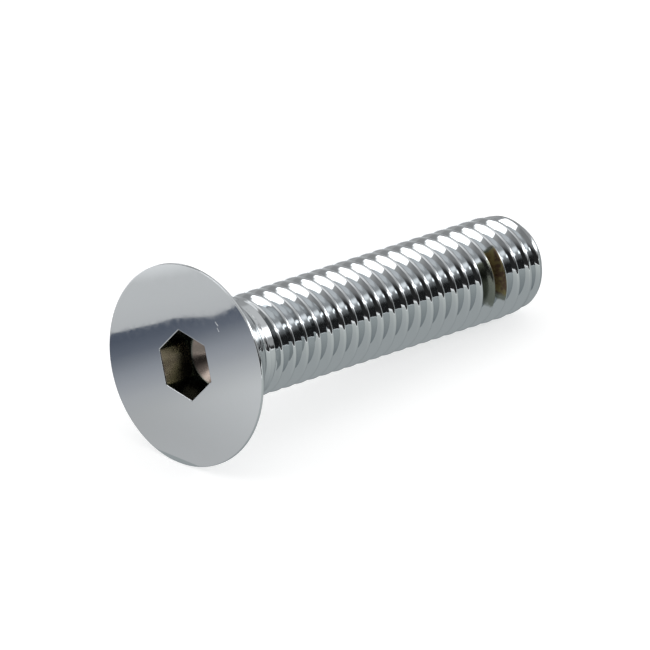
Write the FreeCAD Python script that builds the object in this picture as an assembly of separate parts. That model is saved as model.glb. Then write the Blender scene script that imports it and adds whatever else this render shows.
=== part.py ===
import FreeCAD, Part
import math
import os

from FreeCAD import Vector

# Flat countersunk socket screw, size 5/16 inch with 18 threads to the inch, in chrome plated steel.
# All lengths are in millimetres and all angles in degrees.
# The screw is shaped along its own axis, which is z, from the face of the head at 0 to the tip.
# Then it is laid down on the rim of its head and on a thread crest near its tip, as it comes to rest,
# with the side that faced x underneath. Turns about the axis are measured from that side.

# Head
head_diameter = 15.8
head_angle = 82.0
head_land = 0.20
rim_break = 0.06
underhead_radius = 0.50

# Socket, a drilled hole that a hexagonal broach has squared out
key_size = 4.78
key_depth = 3.20
drill_angle = 118.0
drill_web = 0.30
socket_turn = 39.3

# Shank
length = 37.3
neck_diameter = 7.96
neck_length = 1.10
runout_length = 1.60
tip_chamfer = 0.85

# The last turns taper a little towards the chamfer, so that the screw finds its hole
lead_length = 1.05
lead_drop = 0.24

# Right-handed thread
thread_pitch = 25.4 / 18
thread_diameter = 7.92
thread_angle = 60.0
crest_flat_share = 1 / 8
groove_depth_share = 17 / 24
thread_turn = 50.0

# How finely each turn of a helix is drawn, and how far one solid reaches into or past another
points_per_turn = 16
overlap = 0.10
spare_turns = 2

head_radius = head_diameter / 2
neck_radius = neck_diameter / 2
thread_radius = thread_diameter / 2
half_head_angle = math.radians(head_angle / 2)
flank_slope = math.tan(math.radians(thread_angle / 2))
crest_flat = crest_flat_share * thread_pitch
groove_depth = groove_depth_share * thread_pitch / (2 * flank_slope)
root_radius = thread_radius - groove_depth
cone_end = head_land + (head_radius - neck_radius) / math.tan(half_head_angle)
neck_end = cone_end + neck_length
lead_end = length - tip_chamfer
lead_radius = thread_radius - lead_drop
origin = Vector(0, 0, 0)
along = Vector(0, 0, 1)


def turned_blank():
    """The head and the neck with the cone behind it, in which the thread runs out."""
    tangent = underhead_radius * math.tan(half_head_angle / 2)
    meet = Vector(neck_radius, 0, cone_end)
    on_cone = meet + Vector(math.sin(half_head_angle), 0, -math.cos(half_head_angle)) * tangent
    on_neck = meet + along * tangent
    centre = on_neck + Vector(underhead_radius, 0, 0)
    inward = Vector(math.cos(half_head_angle / 2), 0, math.sin(half_head_angle / 2))
    middle = centre - inward * underhead_radius
    runout_end = neck_end + runout_length
    head_side = [
        Vector(0, 0, runout_end),
        origin,
        Vector(head_radius - rim_break, 0, 0),
        Vector(head_radius, 0, rim_break),
        Vector(head_radius, 0, head_land),
        on_cone,
    ]
    thread_side = [
        on_neck,
        Vector(neck_radius, 0, neck_end),
        Vector(root_radius - overlap, 0, runout_end),
        Vector(0, 0, runout_end),
    ]
    fillet = Part.Arc(on_cone, middle, on_neck).toShape()
    outline = Part.Wire([Part.makePolygon(head_side), fillet, Part.makePolygon(thread_side)])
    return Part.Face(outline).revolve(origin, along, 360)


def hexagonal_socket():
    """The room inside the socket: the broached hexagon, and the cone that the drill left below it."""
    corner = key_size / math.sqrt(3)
    angles = [math.radians(socket_turn + 60 * i) for i in range(7)]
    outline = Part.makePolygon([Vector(corner * math.cos(a), corner * math.sin(a), 0) for a in angles])
    hexagon = Part.Face(outline).extrude(along * key_depth)
    drill_tip = (key_size - drill_web) / 2 / math.tan(math.radians(drill_angle / 2))
    drilled = Part.makeCone(key_size / 2, drill_web / 2, drill_tip, along * key_depth)
    return hexagon.fuse(drilled)


def helix_turn(radius, height):
    """One turn of a helix, as a smooth curve through points on it. With no radius it is a line on the axis."""
    angles = [2 * math.pi * i / points_per_turn for i in range(points_per_turn + 1)]
    points = []
    for angle in angles:
        rise = thread_pitch * angle / (2 * math.pi)
        points.append(Vector(radius * math.cos(angle), radius * math.sin(angle), height + rise))
    heading = Vector(0, radius, thread_pitch / (2 * math.pi))
    curve = Part.BSplineCurve()
    curve.interpolate(
        Points=points, Parameters=angles, InitialTangent=heading, FinalTangent=heading, Scale=False
    )
    return curve


def helical_face(first, second, weights=(1, 1)):
    """The face that a straight line sweeps as it slides along two turns side by side."""
    across = Part.BSplineCurve([origin, along], None, None, False, 1)
    poles = [list(pair) for pair in zip(first.getPoles(), second.getPoles())]
    surface = Part.BSplineSurface()
    surface.buildFromPolesMultsKnots(
        poles,
        first.getMultiplicities(),
        across.getMultiplicities(),
        first.getKnots(),
        across.getKnots(),
        False,
        False,
        first.Degree,
        across.Degree,
        [list(weights)] * len(poles),
    )
    return surface.toShape()


def threaded_rod():
    """A rod with the thread all round it, closed at each end by a helical ramp and a flat step.

    It begins inside the head and ends past the tip. A crest passes the neck's end at thread_turn.
    """
    # The outline of one turn: across the crest, down one flank, along the root and up the other flank.
    flank_rise = groove_depth * flank_slope
    outline = [
        (thread_radius, 0),
        (thread_radius, crest_flat),
        (root_radius, crest_flat + flank_rise),
        (root_radius, thread_pitch - flank_rise),
        (thread_radius, thread_pitch),
    ]
    helices = [helix_turn(radius, height) for radius, height in outline]
    axis = helix_turn(0, 0)

    # Weights that follow the distance from the axis keep straight chords across the twisted flanks
    # close to them, so that they can be meshed with few triangles.
    one_turn = []
    for (near, far), pair in zip(zip(outline, outline[1:]), zip(helices, helices[1:])):
        one_turn.append(helical_face(pair[0], pair[1], (1 / near[0], 1 / far[0])))
    turns = math.ceil((length - neck_end) / thread_pitch) + spare_turns
    faces = [face.translated(along * thread_pitch * turn) for turn in range(turns) for face in one_turn]

    step = [Vector(radius, 0, height) for radius, height in outline]
    step = [origin] + step + [along * thread_pitch]
    far_end = along * thread_pitch * turns
    faces.append(helical_face(axis, helices[0]))
    faces.append(Part.Face(Part.makePolygon(step + step[:1])))
    faces.append(helical_face(helices[0], axis).translated(far_end))
    step.reverse()
    faces.append(Part.Face(Part.makePolygon(step + step[:1])).translated(far_end))

    shell = Part.makeShell(faces)
    shell.sewShape()
    rod = Part.Solid(shell)
    rod.translate(along * (neck_end - thread_pitch - crest_flat / 2))
    rod.rotate(origin, along, thread_turn)
    return rod


def tip_tool():
    """What the taper of the last turns, the chamfer and the end take off the rod."""
    reach = length + (spare_turns + 1) * thread_pitch
    wide = thread_radius + overlap
    section = [
        along * length,
        Vector(lead_radius - tip_chamfer, 0, length),
        Vector(lead_radius, 0, lead_end),
        Vector(wide, 0, lead_end - lead_length * (wide - lead_radius) / lead_drop),
        Vector(wide, 0, reach),
        along * reach,
    ]
    return Part.Face(Part.makePolygon(section + section[:1])).revolve(origin, along, 360)


def resting_tilt():
    """How far the axis dips towards the tip, once the head's rim and a thread crest touch the ground."""
    crest = neck_end - thread_pitch * thread_turn / 360 + crest_flat / 2
    tilts = []
    while crest < lead_end:
        past_lead = max(crest - (lead_end - lead_length), 0)
        radius = thread_radius - lead_drop * past_lead / lead_length
        if crest > neck_end:
            tilts.append(math.atan2(head_radius - radius, crest - head_land))
        crest += thread_pitch
    return math.degrees(min(tilts))


tilt = resting_tilt()
screw = turned_blank().fuse(threaded_rod().cut(tip_tool())).cut(hexagonal_socket())
screw.rotate(origin, Vector(0, 1, 0), 90 + tilt)
box = screw.optimalBoundingBox()
screw.translate(Vector(-(box.XMin + box.XMax) / 2, -(box.YMin + box.YMax) / 2, -box.ZMin))
print(f"tilt {tilt:.3f} degrees, volume {screw.Volume:.1f} cubic mm, solids {len(screw.Solids)}")

os.makedirs("parts", exist_ok=True)
screw.exportStep("parts/countersunk_screw.step")
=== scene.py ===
import math

import bmesh
import bpy
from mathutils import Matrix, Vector


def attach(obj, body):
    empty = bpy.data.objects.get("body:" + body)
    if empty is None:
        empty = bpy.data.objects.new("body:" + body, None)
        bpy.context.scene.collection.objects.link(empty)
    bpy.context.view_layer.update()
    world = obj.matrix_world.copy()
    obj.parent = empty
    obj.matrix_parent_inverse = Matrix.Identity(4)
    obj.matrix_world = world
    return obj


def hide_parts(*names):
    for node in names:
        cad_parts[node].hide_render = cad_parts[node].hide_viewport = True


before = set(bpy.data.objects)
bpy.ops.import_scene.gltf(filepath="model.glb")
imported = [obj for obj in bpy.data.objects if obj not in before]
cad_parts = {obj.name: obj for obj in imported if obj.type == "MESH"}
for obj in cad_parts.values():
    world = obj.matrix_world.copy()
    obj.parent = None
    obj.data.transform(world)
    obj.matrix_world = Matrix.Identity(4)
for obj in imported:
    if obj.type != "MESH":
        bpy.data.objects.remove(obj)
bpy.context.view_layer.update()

# The screw along its own axis, from the face of its head at 0 to its tip, in millimetres and degrees.
# Turns about the axis are measured from the side that lies underneath.
MM = 0.001
HEAD_RADIUS = 7.9
HALF_HEAD_ANGLE = 41.0
HEAD_LAND = 0.20
RIM_ROUND = 0.06
LAND_ROUND = 0.05
UNDERHEAD_ROUND = 0.40
NECK_RADIUS = 3.98
NECK_LENGTH = 1.10
RUNOUT_LENGTH = 1.05
LENGTH = 37.3
TIP_CHAMFER = 0.85
LEAD_LENGTH = 2.0
LEAD_DROP = 0.26
KEY_SIZE = 4.78
KEY_DEPTH = 3.20
DRILL_DEPTH = 4.55
DRILL_FLAT = 0.10
MOUTH_ROUND = 0.05
SOCKET_TURN = 39.3
PITCH = 25.4 / 18
THREAD_RADIUS = 3.96
THREAD_TURN = 50.0
HALF_THREAD_ANGLE = 30.0
CREST_ROUND = 0.20

# How deep the groove is, as a share of the height of the sharp profile
GROOVE_SHARE = 17 / 24

# How widely the thread blends into the run-out cone, the taper of the last turns and the chamfer
RUNOUT_BLEND = 0.08
LEAD_BLEND = 0.05
CHAMFER_BLEND = 0.30

# It lies on the rim of its head and on a crest near its tip
TILT = math.radians(6.398)
OFFSET = Vector((-18.2569, 0.0, 7.87308))

HALF_CONE = math.radians(HALF_HEAD_ANGLE)
HALF_THREAD = math.radians(HALF_THREAD_ANGLE)
ROOT_RADIUS = THREAD_RADIUS - GROOVE_SHARE * PITCH * math.cos(HALF_THREAD)
ROOT_ROUND = PITCH / 2 / math.tan(HALF_THREAD) - (THREAD_RADIUS - ROOT_RADIUS) - CREST_ROUND
FACE_RADIUS = HEAD_RADIUS - RIM_ROUND
CONE_END = HEAD_LAND + (HEAD_RADIUS - NECK_RADIUS) / math.tan(HALF_CONE)
NECK_END = CONE_END + NECK_LENGTH
LEAD_START = LENGTH - TIP_CHAMFER - LEAD_LENGTH
END_RADIUS = THREAD_RADIUS - LEAD_DROP - TIP_CHAMFER

# The mesh: its columns round the axis, where the rings of the head meet the thread's rows, how much
# further than the tip the rows run, how near points are merged and from what angle an edge is sharp
COLUMNS = 120
SEAM = CONE_END + 0.35
END_SPAN = 0.9 * PITCH
MERGE = 0.0008
SHARP_ANGLE = 35

# How near to an edge a ring lies that keeps its shading off the flat faces
BESIDE_EDGE = 0.03
BESIDE_MOUTH = 0.02
BESIDE_FOOT = 0.01

# The socket loses its plating between these depths. Of its six walls, counted from 0 at the corner at
# SOCKET_TURN, two are painted near black as painted shade, standing for dark reflections inside the
# socket.
BARE_FROM, BARE_TO = 0.05, 0.15
SHADED_WALLS = (1, 5)

# Where the plating failed near the tip: a dull patch in one groove and a brown one in the next,
# as (first turn, last turn, first crest, last crest, how brown). They fade over FADE_ALONG of a pitch
# either way, and round the screw between these degrees from their first and last turn.
PATCHES = [(229, 291, 16.06, 17.02, 0.5), (217, 284, 17.02, 17.98, 1.0)]
FADE_ALONG = 0.04
FADE_IN = (-6, 6)
FADE_OUT = (-14, 8)


def lay_down(x, y, z):
    """A point of the upright screw, where it is once the screw has been laid down."""
    sin, cos = math.sin(TILT), math.cos(TILT)
    return Vector((z * cos - x * sin, y, -x * cos - z * sin)) + OFFSET


def arc(centre, radius, start, end, steps):
    """Points (z, r) on an arc, with angles from the z direction towards the r direction."""
    found = []
    for i in range(steps + 1):
        a = math.radians(start + (end - start) * i / steps)
        found.append((centre[0] + radius * math.cos(a), centre[1] + radius * math.sin(a)))
    return found


def thread_profile():
    """Rows (offset along the axis, radius) of one turn, from the middle of one crest to the next."""
    crest_centre = (0.0, THREAD_RADIUS - CREST_ROUND)
    root_centre = (PITCH / 2, ROOT_RADIUS + ROOT_ROUND)
    half = arc(crest_centre, CREST_ROUND, 90, HALF_THREAD_ANGLE, 5)
    root = arc(root_centre, ROOT_ROUND, 180 + HALF_THREAD_ANGLE, 270, 4)
    top, bottom = half[-1], root[0]
    for t in (1 / 3, 2 / 3):
        half.append((top[0] + (bottom[0] - top[0]) * t, top[1] + (bottom[1] - top[1]) * t))
    half += root
    back = [(PITCH - z, r) for z, r in reversed(half[1:-1])]
    return half + back


def smooth_max(a, b, blend):
    """The greater of two values, rounded off where they are within blend of each other."""
    near = max(blend - abs(a - b), 0.0) / blend
    return max(a, b) + near * near * blend / 4


def smooth_min(a, b, blend):
    """The lesser of two values, rounded off where they are within blend of each other."""
    return -smooth_max(-a, -b, blend)


def shank_radius(z, profile_radius):
    """The thread as it runs out into the neck, tapers in its last turns and is cut off by the chamfer."""
    sink = max(z - NECK_END, 0.0) / RUNOUT_LENGTH
    cone = NECK_RADIUS - sink * (NECK_RADIUS - ROOT_RADIUS)
    radius = smooth_max(profile_radius, cone, RUNOUT_BLEND)
    lead = THREAD_RADIUS - LEAD_DROP * (z - LEAD_START) / LEAD_LENGTH
    chamfer = END_RADIUS + (LENGTH - z)
    return smooth_min(smooth_min(radius, lead, LEAD_BLEND), chamfer, CHAMFER_BLEND)


def share_between(low, high, value):
    """0 up to low and 1 from high on, straight in between."""
    return min(max((value - low) / (high - low), 0.0), 1.0)


def step_between(low, high, value):
    """0 up to low and 1 from high on, smooth in between."""
    t = share_between(low, high, value)
    return t * t * (3 - 2 * t)


def plating_mark(angle, z):
    """0 on good plating, 0.5 in the dull patch and 1 in the brown one."""
    turn = math.degrees(angle) % 360
    crest = (z - NECK_END) / PITCH - (turn - THREAD_TURN) / 360
    strongest = 0.0
    for first, last, low, high, brownness in PATCHES:
        inside = step_between(low - FADE_ALONG, low + FADE_ALONG, crest)
        inside *= 1 - step_between(high - FADE_ALONG, high + FADE_ALONG, crest)
        inside *= step_between(first + FADE_IN[0], first + FADE_IN[1], turn)
        inside *= 1 - step_between(last + FADE_OUT[0], last + FADE_OUT[1], turn)
        strongest = max(strongest, inside * brownness)
    return strongest


mesh = bmesh.new()
socket_layer = mesh.verts.layers.float.new("socket")
# A mask for the two socket walls that are painted near black as shade
wall_shade_layer = mesh.verts.layers.float.new("wall_shade")
mark_layer = mesh.verts.layers.float.new("mark")
angles = [math.radians(SOCKET_TURN + 360 * i / COLUMNS) for i in range(COLUMNS)]


def add_point(radius, angle, z):
    """A point of the mesh, given on the upright screw in millimetres."""
    return mesh.verts.new(lay_down(radius * math.cos(angle), radius * math.sin(angle), z) * MM)


def hexagon(angle):
    """How far the socket's wall is from the axis."""
    side = (math.degrees(angle) - SOCKET_TURN) % 60
    return KEY_SIZE / 2 / math.cos(math.radians(side - 30))


def ring(radius, z, bareness=0.0):
    """Points round the axis, with a radius that is a number or a function of the angle."""
    made = []
    for i, angle in enumerate(angles):
        point = add_point(radius(angle) if callable(radius) else radius, angle, z)
        wall = 6 * i // COLUMNS
        point[socket_layer] = bareness
        # Two of the socket's walls get the mask for painted shade
        point[wall_shade_layer] = bareness if wall in SHADED_WALLS and 0 < z < KEY_DEPTH else 0.0
        made.append(point)
    return made


def socket_rings():
    """From the bottom of the drilled hole up the walls to the rounded mouth."""
    made = [ring(DRILL_FLAT / 2, DRILL_DEPTH, 1.0)]
    for step in (0.35, 0.7, 0.98, 1.0):
        made.append(ring(KEY_SIZE / 2 * step, DRILL_DEPTH - (DRILL_DEPTH - KEY_DEPTH) * step, 1.0))
    made.append(ring(lambda a: hexagon(a) - BESIDE_FOOT, KEY_DEPTH, 1.0))
    for z in (KEY_DEPTH, KEY_DEPTH - BESIDE_EDGE, 2.4, 1.6, 0.9, 0.4, 0.16, MOUTH_ROUND + BESIDE_MOUTH):
        made.append(ring(hexagon, z, share_between(BARE_FROM, BARE_TO, z)))
    for degrees in (0, 30, 60, 90):
        lean = math.radians(degrees)
        out = MOUTH_ROUND * (1 - math.cos(lean))
        made.append(ring(lambda a, o=out: hexagon(a) + o, MOUTH_ROUND * (1 - math.sin(lean))))
    return made


def face_rings():
    """Across the face, from the shape of the hexagon to a round one, and round the rim."""
    made = []
    inner = MOUTH_ROUND + BESIDE_EDGE
    outer = FACE_RADIUS - BESIDE_EDGE
    for step in (0, 0.1, 0.25, 0.4, 0.55, 0.7, 0.85, 1):
        made.append(ring(lambda a, t=step: (hexagon(a) + inner) * (1 - t) + outer * t, 0.0))
    for z, r in arc((RIM_ROUND, FACE_RADIUS), RIM_ROUND, 180, 90, 5):
        made.append(ring(r, z))
    return made


def cone_rings():
    """From the land at the rim down the cone and round the fillet to the neck."""
    made = []
    land_tangent = LAND_ROUND * math.tan(HALF_CONE / 2)
    land_centre = (HEAD_LAND - land_tangent, HEAD_RADIUS - LAND_ROUND)
    for z, r in arc(land_centre, LAND_ROUND, 90, 90 - HALF_HEAD_ANGLE, 3):
        made.append(ring(r, z))
    neck_tangent = UNDERHEAD_ROUND * math.tan(HALF_CONE / 2)
    neck_centre = (CONE_END + neck_tangent, NECK_RADIUS + UNDERHEAD_ROUND)
    fillet = arc(neck_centre, UNDERHEAD_ROUND, 270 - HALF_HEAD_ANGLE, 270, 6)
    top_z = HEAD_LAND + land_tangent * math.cos(HALF_CONE)
    top_r = HEAD_RADIUS - land_tangent * math.sin(HALF_CONE)
    foot_z, foot_r = fillet[0]
    for t in (0.01, 0.2, 0.4, 0.6, 0.8, 0.98):
        made.append(ring(top_r + (foot_r - top_r) * t, top_z + (foot_z - top_z) * t))
    for z, r in fillet:
        made.append(ring(r, z))
    made.append(ring(NECK_RADIUS, SEAM))
    return made


rings = socket_rings() + face_rings() + cone_rings()
for first, second in zip(rings, rings[1:]):
    for i in range(COLUMNS):
        j = (i + 1) % COLUMNS
        mesh.faces.new((first[i], first[j], second[j], second[i]))
mesh.faces.new(list(reversed(rings[0])))


def crest_height(angle):
    """Where a crest passes an angle, close to the end of the neck."""
    return NECK_END + PITCH * (math.degrees(angle) - THREAD_TURN) / 360


# The thread's grid: its rows climb along the helix, and one turn further on they meet the next rows.
# Rows before the seam gather on it, and rows past the tip run in over the end to the axis.
profile = thread_profile()
first_turn = math.floor((SEAM - crest_height(angles[-1])) / PITCH) - 1
last_turn = math.ceil((LENGTH + END_SPAN - crest_height(angles[0])) / PITCH) + 1


def column_points(angle):
    """The points (z, r) of one column, from the seam over the thread and the tip to the axis."""
    points = []
    base = crest_height(angle)
    for turn in range(first_turn, last_turn):
        for offset, radius in profile:
            points.append([base + turn * PITCH + offset, radius])
    nearest = min(range(len(points)), key=lambda k: abs(points[k][0] - LENGTH))
    points[nearest][0] = LENGTH
    placed = []
    for z, radius in points:
        if z <= SEAM:
            placed.append((SEAM, NECK_RADIUS))
        elif z <= LENGTH:
            placed.append((z, shank_radius(z, radius)))
        else:
            inward = min((z - LENGTH) / END_SPAN, 1.0)
            placed.append((LENGTH, shank_radius(LENGTH, radius) * (1 - inward)))
    return placed


grid = []
for angle in angles + [angles[0] + 2 * math.pi]:
    column = []
    for z, r in column_points(angle):
        point = add_point(r, angle, z)
        point[mark_layer] = plating_mark(angle, z)
        column.append(point)
    grid.append(column)
for here, there in zip(grid, grid[1:]):
    for j in range(len(here) - 1):
        mesh.faces.new((here[j], there[j], there[j + 1], here[j + 1]))

bmesh.ops.remove_doubles(mesh, verts=mesh.verts, dist=MERGE * MM)
bmesh.ops.dissolve_degenerate(mesh, edges=mesh.edges, dist=MERGE * MM)
bmesh.ops.recalc_face_normals(mesh, faces=mesh.faces)
data = bpy.data.meshes.new("screw")
mesh.to_mesh(data)
mesh.free()
data.shade_smooth()
data.set_sharp_from_angle(angle=math.radians(SHARP_ANGLE))
screw = bpy.data.objects.new("screw", data)
bpy.context.scene.collection.objects.link(screw)
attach(screw, "root")
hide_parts("countersunk_screw")


class Nodes:
    """A short way to write a node tree down."""

    def __init__(self, tree):
        self.tree = tree

    def link(self, value, entry):
        if isinstance(value, bpy.types.NodeSocket):
            self.tree.links.new(value, entry)
        else:
            entry.default_value = value

    def new(self, kind, *values, **settings):
        node = self.tree.nodes.new(kind)
        for name, value in settings.items():
            setattr(node, name, value)
        for entry, value in zip(node.inputs, values):
            if value is not None:
                self.link(value, entry)
        return node

    def math(self, operation, *values):
        return self.new("ShaderNodeMath", *values, operation=operation).outputs[0]

    def times(self, first, second):
        return self.math("MULTIPLY", first, second)

    def total(self, first, *others):
        for value in others:
            first = self.math("ADD", first, value)
        return first

    def ramp(self, value, low, high, first=0.0, last=1.0):
        """From first to last while the value goes from low to high, with a smooth step."""
        limits = (low, high, first, last)
        node = self.new("ShaderNodeMapRange", value, *limits, interpolation_type="SMOOTHSTEP")
        return node.outputs["Result"]

    def noise(self, place, scale, detail, rough):
        node = self.new("ShaderNodeTexNoise", place)
        self.link(scale, node.inputs["Scale"])
        self.link(detail, node.inputs["Detail"])
        self.link(rough, node.inputs["Roughness"])
        return node.outputs["Fac"]

    def blend(self, share, first, second):
        """From the first colour to the second as the share goes from 0 to 1."""
        node = self.new("ShaderNodeMix", data_type="RGBA")
        entries = [entry for entry in node.inputs if entry.enabled]
        for entry, value in zip(entries, (share, first, second)):
            self.link(value, entry)
        return [result for result in node.outputs if result.enabled][0]

    def parts(self, vector):
        return self.new("ShaderNodeSeparateXYZ", vector).outputs

    def attribute(self, name):
        return self.new("ShaderNodeAttribute", attribute_name=name).outputs["Fac"]


def new_material(name):
    """A material, its nodes and its shader."""
    material = bpy.data.materials.new(name)
    material.use_nodes = True
    return material, Nodes(material.node_tree), material.node_tree.nodes["Principled BSDF"]


# The colours of the screw. Where there are two, stains run from one to the other.
CHROME = [(0.620, 0.650, 0.662, 1), (0.632, 0.655, 0.680, 1)]
CHROME_EDGE = (0.60, 0.62, 0.63, 1)
BARE_STEEL = [(0.62, 0.65, 0.50, 1), (0.58, 0.58, 0.46, 1)]
# Painted shade: the colour the socket's walls darken to deep in the recess
DEEP_SHADE = (0.13, 0.14, 0.12, 1)
DRILLED_STEEL = (0.31, 0.255, 0.225, 1)
# Painted shade: the near black of two of the socket's walls
WALL_SHADE = (0.085, 0.095, 0.088, 1)
DULL_STEEL = (0.21, 0.225, 0.195, 1)
RUST = [(0.13, 0.085, 0.06, 1), (0.25, 0.215, 0.105, 1)]
SCRATCH_COLOUR = (0.75, 0.77, 0.80, 1)

# The depths between which the walls of the socket are painted darker, as painted shade deep in the recess
DARKER_FROM, DARKER_TO = 1.3, 2.5

# Fine scratches on the face, as (start, end, half width) on the upright screw
SCRATCHES = [
    ((-4.38, -2.65), (-4.16, -2.98), 0.07),
    ((-3.97, -2.90), (-3.72, -3.13), 0.06),
    ((-1.52, 5.36), (-1.46, 5.42), 0.05),
]

# How rough the plating is, and how much rougher stains, scratches and bare metal are
PLATE_ROUGHNESS = 0.035
STAIN_ROUGHNESS = 0.035
SCRATCH_ROUGHNESS = 0.35
SOCKET_ROUGHNESS = 0.16
DULL_ROUGHNESS = 0.16
BROWN_ROUGHNESS = 0.20

# How high the unevenness of the surface is, in millimetres
WAVE_HEIGHT = 0.0014
PEBBLE_HEIGHT = 0.00005
LINE_HEIGHT = 0.00002
PIT_HEIGHT = 0.002


def upright_place(nodes):
    """The place on the upright screw, in millimetres."""
    where = nodes.new("ShaderNodeTexCoord").outputs["Object"]
    back_up = (0, math.pi / 2 + TILT, 0)
    laid_down = (OFFSET * MM, back_up, (MM, MM, MM))
    upright = nodes.new("ShaderNodeMapping", where, *laid_down, vector_type="TEXTURE")
    return upright.outputs[0]


def scratch(nodes, x, y, start, end, width):
    """1 along a short line on the head's face, fading to 0 at its sides and ends."""
    length = math.dist(start, end)
    run_x, run_y = (end[0] - start[0]) / length, (end[1] - start[1]) / length
    dx = nodes.math("SUBTRACT", x, start[0])
    dy = nodes.math("SUBTRACT", y, start[1])
    along = nodes.total(nodes.times(dx, run_x), nodes.times(dy, run_y))
    aside = nodes.math("SUBTRACT", nodes.times(dx, run_y), nodes.times(dy, run_x))
    past = nodes.math("ABSOLUTE", nodes.math("SUBTRACT", along, length / 2))
    ends = nodes.ramp(past, length / 2 - width, length / 2 + width, 1.0, 0.0)
    sides = nodes.ramp(nodes.math("ABSOLUTE", aside), 0.0, width, 1.0, 0.0)
    return nodes.times(ends, sides)


def all_scratches(nodes, x, y, z):
    """1 on the scratches, and 0 beside them and below the face."""
    found = 0.0
    for start, end, width in SCRATCHES:
        found = nodes.math("MAXIMUM", found, scratch(nodes, x, y, start, end, width))
    return nodes.times(found, nodes.ramp(z, 0.02, 0.05, 1.0, 0.0))


def relief(nodes, place, rough_socket):
    """The surface is a little wavy and pebbled, with faint polishing lines, and the socket is pitted."""
    waves = nodes.times(nodes.noise(place, 0.45, 1.0, 0.4), WAVE_HEIGHT)
    pebbles = nodes.times(nodes.noise(place, 2.6, 2.0, 0.5), PEBBLE_HEIGHT)
    stretched = nodes.new("ShaderNodeMapping", place, None, (0, 0, 0.7), (1.5, 26, 1.5)).outputs[0]
    lines = nodes.times(nodes.noise(stretched, 1.0, 2.0, 0.6), LINE_HEIGHT)
    pits = nodes.times(rough_socket, PIT_HEIGHT)
    bump = nodes.new("ShaderNodeBump")
    nodes.link(1.0, bump.inputs["Strength"])
    nodes.link(MM, bump.inputs["Distance"])
    nodes.link(nodes.total(waves, pebbles, lines, pits), bump.inputs["Height"])
    return bump.outputs[0]


def chrome_plate():
    """Chrome plate. The socket is bare of it below the mouth, and so are the patches near the tip."""
    material, nodes, shader = new_material("chrome_plate")
    place = upright_place(nodes)
    x, y, z = nodes.parts(place)
    socket = nodes.attribute("socket")
    wall_shade = nodes.attribute("wall_shade")
    mark = nodes.attribute("mark")
    stain = nodes.noise(place, 1.6, 3.0, 0.6)
    patchy = nodes.noise(place, 3.2, 3.0, 0.6)
    ragged = nodes.total(mark, nodes.times(nodes.math("SUBTRACT", patchy, 0.5), 0.35))
    dull = nodes.times(nodes.ramp(ragged, 0.16, 0.42), nodes.ramp(mark, 0.02, 0.2))
    brown = nodes.times(nodes.ramp(ragged, 0.55, 0.95), nodes.ramp(mark, 0.5, 0.7))
    scratched = all_scratches(nodes, x, y, z)

    steel_and_shade = nodes.blend(nodes.ramp(stain, 0.4, 0.7), *BARE_STEEL)
    # Painted shade: the walls darken deeper in the socket
    steel_and_shade = nodes.blend(nodes.ramp(z, DARKER_FROM, DARKER_TO), steel_and_shade, DEEP_SHADE)
    steel_and_shade = nodes.blend(nodes.ramp(z, KEY_DEPTH, KEY_DEPTH + 0.1), steel_and_shade, DRILLED_STEEL)
    # Painted shade: two of the socket's walls turn near black
    steel_and_shade = nodes.blend(wall_shade, steel_and_shade, WALL_SHADE)
    rust = nodes.blend(nodes.ramp(stain, 0.42, 0.62), *RUST)
    color = nodes.blend(socket, nodes.blend(stain, *CHROME), steel_and_shade)
    color = nodes.blend(dull, color, DULL_STEEL)
    color = nodes.blend(brown, color, rust)
    color = nodes.blend(nodes.times(scratched, 0.8), color, SCRATCH_COLOUR)
    nodes.link(color, shader.inputs["Base Color"])
    shader.inputs["Metallic"].default_value = 1.0
    shader.inputs["Specular Tint"].default_value = CHROME_EDGE

    rough = nodes.total(
        PLATE_ROUGHNESS,
        nodes.times(nodes.ramp(stain, 0.35, 0.75), STAIN_ROUGHNESS),
        nodes.times(scratched, SCRATCH_ROUGHNESS),
        nodes.times(socket, SOCKET_ROUGHNESS),
        nodes.times(dull, DULL_ROUGHNESS),
        nodes.times(brown, BROWN_ROUGHNESS),
    )
    nodes.link(rough, shader.inputs["Roughness"])
    nodes.link(relief(nodes, place, nodes.times(socket, patchy)), shader.inputs["Normal"])
    return material


data.materials.append(chrome_plate())


def sheet(name, outline, height):
    """A flat piece of the stage, level with the floor."""
    points = [Vector((x, y, height)) * MM for x, y in outline]
    made = bpy.data.meshes.new(name)
    made.from_pydata(points, [], [tuple(range(len(points)))])
    piece = bpy.data.objects.new(name, made)
    bpy.context.scene.collection.objects.link(piece)
    return piece


def paper():
    """White paper, which the camera and the metal see as white wherever the screw doesn't shade it."""
    material, nodes, shader = new_material("paper")
    paths = nodes.new("ShaderNodeLightPath").outputs
    seen = nodes.math("MAXIMUM", paths["Is Camera Ray"], paths["Is Glossy Ray"])
    seen = nodes.math("MAXIMUM", seen, paths["Is Transmission Ray"])
    shader.inputs["Base Color"].default_value = (0.6, 0.6, 0.6, 1)
    shader.inputs["Roughness"].default_value = 0.9
    shader.inputs["Emission Color"].default_value = (1, 1, 1, 1)
    nodes.link(nodes.times(seen, 0.60), shader.inputs["Emission Strength"])
    return material


FLOOR = 2500
floor = sheet("floor", [(-FLOOR, -FLOOR), (FLOOR, -FLOOR), (FLOOR, FLOOR), (-FLOOR, FLOOR)], 0)
floor.data.materials.append(paper())

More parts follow.
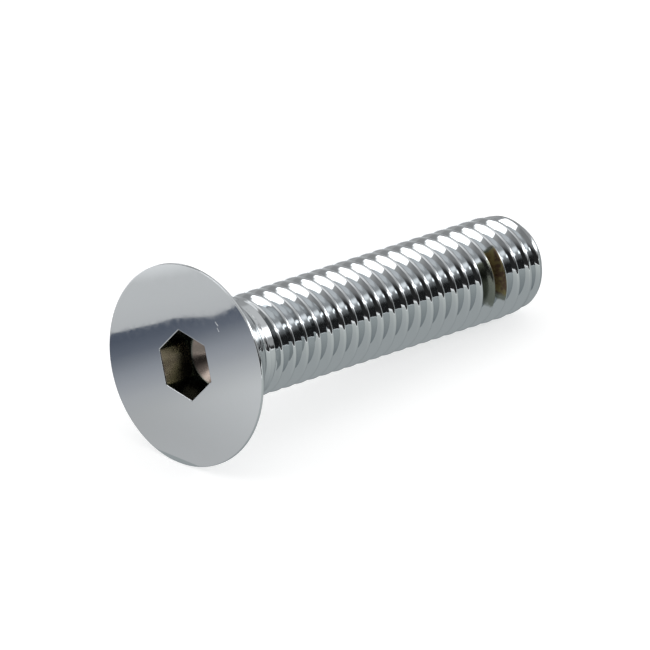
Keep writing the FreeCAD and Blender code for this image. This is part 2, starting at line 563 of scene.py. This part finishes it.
# Cards lie just above the floor, and only the metal sees them. The one behind the head darkens the middle
# of its face, and the lighter one beyond it is seen above that. The one behind the shank draws its upper
# outline, and the last one lies in front of the shank. Where two overlap, the higher covers the lower.
# HEAD_END and REACH are where the wide ones end.
HEAD_END = -140
REACH = 240
HEAD_CARD = [(-14, 24.8), (-38, 25.2), (-44.2, 25.7), (-47.1, 26.2), (-50.7, 25.3), (-54, 26.3)]
HEAD_CARD += [(-57, 27.6), (HEAD_END, 34), (HEAD_END, -3), (-20, -3), (-20, 9), (-14, 9)]
FAR_CARD = [(-14, 20), (-14, 90), (HEAD_END, 90), (HEAD_END, 20)]
SHANK_CARD = [(-13, 11), (REACH, 11), (REACH, REACH), (-13, REACH)]
FRONT_CARD = [(HEAD_END, 12), (HEAD_END, -REACH), (REACH, -REACH), (REACH, 12)]
FRONT_HEIGHT, FAR_HEIGHT, HEAD_HEIGHT, SHANK_HEIGHT = 0.03, 0.04, 0.05, 0.06


def card(name, outline, height):
    """A glowing card: its nodes, its places in millimetres and the entry of its colour."""
    piece = sheet(name, outline, height)
    for path in ("visible_camera", "visible_diffuse", "visible_shadow", "visible_transmission"):
        setattr(piece, path, False)
    material, nodes, shader = new_material(name)
    nodes.tree.nodes.remove(shader)
    piece.data.materials.append(material)
    where = nodes.new("ShaderNodeTexCoord").outputs["Object"]
    place = nodes.new("ShaderNodeVectorMath", where, (MM, MM, MM), operation="DIVIDE").outputs[0]
    glow = nodes.new("ShaderNodeEmission")
    nodes.link(glow.outputs[0], nodes.tree.nodes["Material Output"].inputs["Surface"])
    return nodes, nodes.parts(place), glow.inputs["Color"]


def shading(nodes, value, stops, green=1.0):
    """A colour that runs through stops (value, level, blueness), with its green scaled."""
    low, high = stops[0][0], stops[-1][0]
    share = nodes.new("ShaderNodeMapRange", value, low, high, 0.0, 1.0).outputs[0]
    node = nodes.new("ShaderNodeValToRGB", share)
    marks = node.color_ramp.elements
    while len(marks) < len(stops):
        marks.new(0.5)
    for mark, (at, level, blueness) in zip(marks, stops):
        mark.position = (at - low) / (high - low)
        mark.color = (level, level * (1 + 0.3 * (blueness - 1)) * green, level * blueness, 1)
    return node.outputs["Color"]


# The head's card darkens along a slant, and its front part is lighter away from the head
nodes, place, shade = card("head_card", HEAD_CARD, HEAD_HEIGHT)
slanted = nodes.total(place["Y"], nodes.times(place["X"], 0.176))
stops = [(-6, 0.63, 1.0), (0, 0.60, 1.0), (5, 0.57, 1.0), (8, 0.53, 1.04), (10.2, 0.44, 1.1)]
stops += [(11.8, 0.36, 1.15), (13.2, 0.27, 1.2), (14.7, 0.175, 1.35), (17, 0.115, 1.5)]
light_side = nodes.times(nodes.ramp(place["X"], -22, -44), nodes.ramp(slanted, 10, 3))
level = nodes.total(1.0, nodes.times(light_side, 0.36))
color = nodes.new("ShaderNodeVectorMath", shading(nodes, slanted, stops), operation="SCALE")
nodes.link(level, color.inputs["Scale"])
nodes.link(color.outputs[0], shade)

nodes, place, shade = card("far_card", FAR_CARD, FAR_HEIGHT)
stops = [(24, 0.66, 1.0), (30, 0.72, 1.0), (34, 0.73, 1.0), (36.5, 0.98, 1.0)]
nodes.link(shading(nodes, place["Y"], stops), shade)

nodes, place, shade = card("shank_card", SHANK_CARD, SHANK_HEIGHT)
nodes.link(shading(nodes, place["Y"], [(11, 0.50, 1.0), (18, 0.42, 1.0)]), shade)

nodes, place, shade = card("front_card", FRONT_CARD, FRONT_HEIGHT)
stops = [(-60, 0.63, 1.02), (-28, 0.60, 1.02), (-18, 0.555, 1.02), (-11, 0.50, 1.04), (-5, 0.44, 1.06)]
nodes.link(shading(nodes, place["Y"], stops, 1.04), shade)

# The studio is grey, with soft panels as (azimuth, half width, lowest, highest, softness, level). A later
# panel covers those before it. Azimuths are from +X towards +Y and elevations above the horizon, in
# degrees.
BASE_LEVEL = 0.42
PANELS = [
    # The ceiling, and a patch of wall beyond the tip
    (0, 181, 58, 95, 4, 1.05),
    (0, 32, 29, 52, 4, 0.72),
    # The dark wall in front of the shank
    (-115, 68, -90, 58, 6, 0.27),
    # The wall behind the shank, seen along the upper outline, with a small dark patch
    (75, 45, -90, 50, 4, 0.50),
    (126, 6, 23, 32, 2, 0.36),
    # The lighter upper part of the wall in front
    (-95, 42, 52, 76, 7, 0.62),
    (-66, 14, 34, 56, 6, 0.62),
    # The window that gives the white highlights on top of the thread
    (150, 19, 31, 55, 1.5, 2.6),
    # The dark low sides that give the black band along the shank
    (-114, 62, -90, 25, 6, 0.025),
    (-25, 32, -90, 5, 2, 0.03),
    # A slanting row of lamps, which draws the bright lines on the crests
    (-66, 6, 41, 52, 4, 1.6),
    (-57, 6, 33, 44, 4, 2.6),
    (-46, 7, 26, 36, 4, 3.4),
    (-35, 7, 20, 32, 4, 3.6),
    (-24, 7, 13, 26, 4, 3.6),
    (-13, 7, 5, 18, 4, 3.6),
    (-2, 7, -3, 10, 4, 3.0),
    # A long lamp in front, which puts a dot of light in each groove
    (-97, 25, 35, 42, 2.5, 3.4),
    # A low light behind the shank
    (72, 26, -40, 16, 5, 2.4),
]


def studio():
    """The world, with the level of its light worked out from the direction."""
    world = bpy.data.worlds.new("studio")
    world.use_nodes = True
    nodes = Nodes(world.node_tree)
    direction = nodes.new("ShaderNodeTexCoord").outputs["Generated"]
    elevation = nodes.math("DEGREES", nodes.math("ARCSINE", nodes.parts(direction)["Z"]))
    level = BASE_LEVEL
    for azimuth, half_width, lowest, highest, softness, strength in PANELS:
        turn = nodes.new("ShaderNodeVectorRotate", direction, rotation_type="Z_AXIS")
        nodes.link(-math.radians(azimuth), turn.inputs["Angle"])
        turned = nodes.parts(turn.outputs[0])
        bearing = nodes.math("ABSOLUTE", nodes.math("ARCTAN2", turned["Y"], turned["X"]))
        aside = nodes.math("DEGREES", bearing)
        inside = nodes.ramp(aside, half_width - softness, half_width + softness, 1.0, 0.0)
        above = nodes.ramp(elevation, lowest - softness, lowest + softness)
        below = nodes.ramp(elevation, highest - softness, highest + softness, 1.0, 0.0)
        share = nodes.times(inside, nodes.times(above, below))
        change = nodes.times(share, nodes.math("SUBTRACT", strength, level))
        level = nodes.total(level, change)
    nodes.link(level, world.node_tree.nodes["Background"].inputs["Color"])
    return world


bpy.context.scene.world = studio()

# The camera stands where the photograph was taken from, far away behind a long lens. At azimuth 0 it
# would look along +Y. Lengths are in millimetres.
AZIMUTH = math.radians(-47.169)
ELEVATION = math.radians(25.836)
DISTANCE = 1244.85
TARGET = Vector((-10.058, -6.819, 10.608))
SENSOR_WIDTH = 36.0
FOCAL_LENGTH = 911.23
level_part = math.cos(ELEVATION)
back = Vector((math.sin(AZIMUTH) * level_part, -math.cos(AZIMUTH) * level_part, math.sin(ELEVATION)))
camera_data = bpy.data.cameras.new("camera")
camera_data.sensor_width = SENSOR_WIDTH
camera_data.lens = FOCAL_LENGTH
camera_data.clip_start = 0.1
camera_data.clip_end = 10.0
camera = bpy.data.objects.new("camera", camera_data)
camera.location = (TARGET + back * DISTANCE) * MM
camera.rotation_mode = "QUATERNION"
camera.rotation_quaternion = (-back).to_track_quat("-Z", "Y")
bpy.context.scene.collection.objects.link(camera)
bpy.context.scene.camera = camera
bpy.context.scene.view_settings.view_transform = "Standard"
